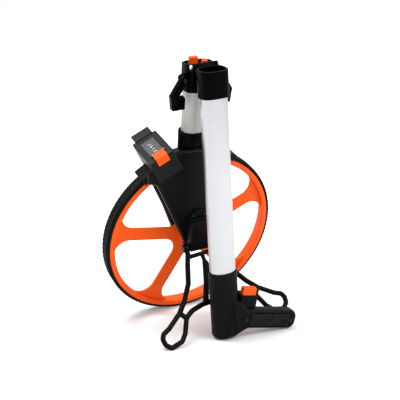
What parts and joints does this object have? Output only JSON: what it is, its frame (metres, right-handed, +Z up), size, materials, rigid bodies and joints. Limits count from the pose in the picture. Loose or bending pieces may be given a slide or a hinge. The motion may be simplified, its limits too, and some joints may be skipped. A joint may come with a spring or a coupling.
{
  "type": "measuring wheel",
  "caption": "Folding measuring wheel with an orange spoked wheel, forked leg, digit counter, tube joint, stand and a pistol grip, shown folded and standing.",
  "frame": {"origin": "On the floor, under the middle of the folded object's bounding box.", "axes": "+Z is up. +X runs across the wheel's face to the right, seen from the visible side, which faces -Y. The wheel leans back about 16 degrees from the XZ plane."},
  "size_m": [0.318, 0.2142, 0.4737],
  "materials": {
    "orange_plastic": "moulded satin orange plastic",
    "tyre_rubber": "dull black tread rubber",
    "grip_rubber": "dark scaled soft rubber",
    "brake_rubber": "plain black rubber",
    "belt_rubber": "plain black rubber",
    "fork_plastic": "satin black moulded plastic",
    "joint_plastic": "satin black moulded plastic",
    "bracket_plastic": "fine grained black plastic",
    "counter_plastic": "fine grained dark grey plastic",
    "grip_plastic": "fine grained charcoal plastic",
    "stand_paint": "satin black powder coat",
    "window_clear": "clear window",
    "drum_plastic": "black drums with white figures",
    "pulley_plastic": "plain white plastic",
    "tube_aluminium": "satin anodised aluminium",
    "plated_steel": "bright plated steel",
    "screw_steel": "dark plated steel"
  },
  "bodies": {
    "frame": {"axle": "plated_steel", "axle_spacer_front": "plated_steel", "axle_spacer_rear": "plated_steel", "axle_washer": "plated_steel", "axle_nut": "plated_steel", "fork_front_leg": "fork_plastic", "fork_rear_leg": "fork_plastic", "fork_crown": "fork_plastic", "fender": "fork_plastic", "leg_screw_1": "screw_steel", "leg_screw_2": "screw_steel", "leg_screw_3": "screw_steel", "lower_socket": "joint_plastic", "joint_pin": "plated_steel", "lower_tube": "tube_aluminium", "counter_housing": "counter_plastic", "counter_panel": "counter_plastic", "counter_window": "window_clear", "lever_pin": "plated_steel", "drive_belt": "belt_rubber", "belt_cover": "fork_plastic", "stand_bracket": "bracket_plastic", "bracket_screw_left": "screw_steel", "bracket_screw_right": "screw_steel", "stand_pin": "plated_steel", "latch_pin_left": "plated_steel", "latch_pin_right": "plated_steel"},
    "wheel": {"wheel_disc": "orange_plastic", "tyre": "tyre_rubber", "wheel_bearing_front": "plated_steel", "wheel_bearing_rear": "plated_steel", "drive_pulley": "pulley_plastic"},
    "counter_drive": {"counter_shaft": "plated_steel", "counter_pulley": "pulley_plastic"},
    "drum_1": {"digit_drum_1": "drum_plastic"},
    "drum_2": {"digit_drum_2": "drum_plastic"},
    "drum_3": {"digit_drum_3": "drum_plastic"},
    "drum_4": {"digit_drum_4": "drum_plastic"},
    "drum_5": {"digit_drum_5": "drum_plastic"},
    "reset_lever": {"reset_lever": "orange_plastic"},
    "latch_left": {"latch_left": "joint_plastic"},
    "latch_right": {"latch_right": "joint_plastic"},
    "brake": {"brake_shoe": "brake_rubber", "brake_rod": "plated_steel", "brake_rod_head": "orange_plastic"},
    "upper": {"upper_socket": "joint_plastic", "upper_tube": "tube_aluminium", "grip_body": "grip_plastic", "grip_cover": "grip_plastic", "grip_panel_front": "grip_rubber", "grip_panel_rear": "grip_rubber", "grip_screw_inner": "screw_steel", "grip_screw_outer": "screw_steel", "trigger_housing": "grip_plastic"},
    "trigger": {"trigger": "orange_plastic"},
    "push_rod": {"push_rod": "plated_steel", "push_rod_pad": "joint_plastic"},
    "stand": {"stand_frame": "stand_paint"}
  },
  "joints": [
    {"name": "wheel_spin", "type": "hinge", "parent": "frame", "child": "wheel", "pos_m": [0, 0.05316, 0.15541], "axis": [0, -0.9623, -0.2718], "continuous": true},
    {"name": "counter_spin", "type": "hinge", "parent": "frame", "child": "counter_drive", "pos_m": [-0.08081, 0.00871, 0.31274], "axis": [0, -0.9623, -0.2718], "continuous": true},
    {"name": "drum_1_spin", "type": "hinge", "parent": "frame", "child": "drum_1", "pos_m": [-0.08081, 0.00871, 0.31274], "axis": [0, -0.9623, -0.2718], "continuous": true},
    {"name": "drum_2_spin", "type": "hinge", "parent": "frame", "child": "drum_2", "pos_m": [-0.08081, 0.00871, 0.31274], "axis": [0, -0.9623, -0.2718], "continuous": true},
    {"name": "drum_3_spin", "type": "hinge", "parent": "frame", "child": "drum_3", "pos_m": [-0.08081, 0.00871, 0.31274], "axis": [0, -0.9623, -0.2718], "continuous": true},
    {"name": "drum_4_spin", "type": "hinge", "parent": "frame", "child": "drum_4", "pos_m": [-0.08081, 0.00871, 0.31274], "axis": [0, -0.9623, -0.2718], "continuous": true},
    {"name": "drum_5_spin", "type": "hinge", "parent": "frame", "child": "drum_5", "pos_m": [-0.08081, 0.00871, 0.31274], "axis": [0, -0.9623, -0.2718], "continuous": true},
    {"name": "reset_press", "type": "hinge", "parent": "frame", "child": "reset_lever", "pos_m": [-0.08924, -0.01664, 0.32044], "axis": [-0.8616, 0.138, -0.4884], "range_deg": [0, 25], "stiffness_Nm_per_rad": 0.05, "springref_deg": -8.59},
    {"name": "latch_left_turn", "type": "hinge", "parent": "frame", "child": "latch_left", "pos_m": [-0.05796, -0.0287, 0.44516], "axis": [0, 0.9623, 0.2718], "range_deg": [-8, 100]},
    {"name": "latch_right_turn", "type": "hinge", "parent": "frame", "child": "latch_right", "pos_m": [0.0048, -0.03019, 0.45044], "axis": [0, -0.9623, -0.2718], "range_deg": [-8, 100]},
    {"name": "brake_slide", "type": "slide", "parent": "frame", "child": "brake", "axis": [0.0872, 0.2708, -0.9587], "range_m": [0, 0.003], "stiffness_N_per_m": 600, "springref_m": -0.002},
    {"name": "tube_fold", "type": "hinge", "parent": "frame", "child": "upper", "pos_m": [-0.02854, -0.06287, 0.46165], "axis": [-0.9962, 0.0237, -0.0839], "range_deg": [0, 166.7]},
    {"name": "trigger_press", "type": "slide", "parent": "upper", "child": "trigger", "axis": [-0.1931, 0.0471, -0.9801], "range_m": [0, 0.006], "stiffness_N_per_m": 500, "springref_m": -0.003},
    {"name": "push_rod_slide", "type": "slide", "parent": "upper", "child": "push_rod", "axis": [-0.0848, -0.0422, 0.9955], "range_m": [0, 0.004]},
    {"name": "stand_fold", "type": "hinge", "parent": "frame", "child": "stand", "pos_m": [0.0003, 0.01443, 0.14095], "axis": [0.9938, 0.0435, 0.1026], "range_deg": [0, 46]}
  ],
  "couplings": [
    {"joint": "counter_spin", "follows": "wheel_spin", "ratio": 1},
    {"joint": "drum_1_spin", "follows": "wheel_spin", "ratio": 1},
    {"joint": "drum_2_spin", "follows": "wheel_spin", "ratio": 0.1},
    {"joint": "drum_3_spin", "follows": "wheel_spin", "ratio": 0.01},
    {"joint": "drum_4_spin", "follows": "wheel_spin", "ratio": 0.001},
    {"joint": "drum_5_spin", "follows": "wheel_spin", "ratio": 0.0001},
    {"joint": "push_rod_slide", "follows": "trigger_press", "ratio": 0.66667}
  ]
}
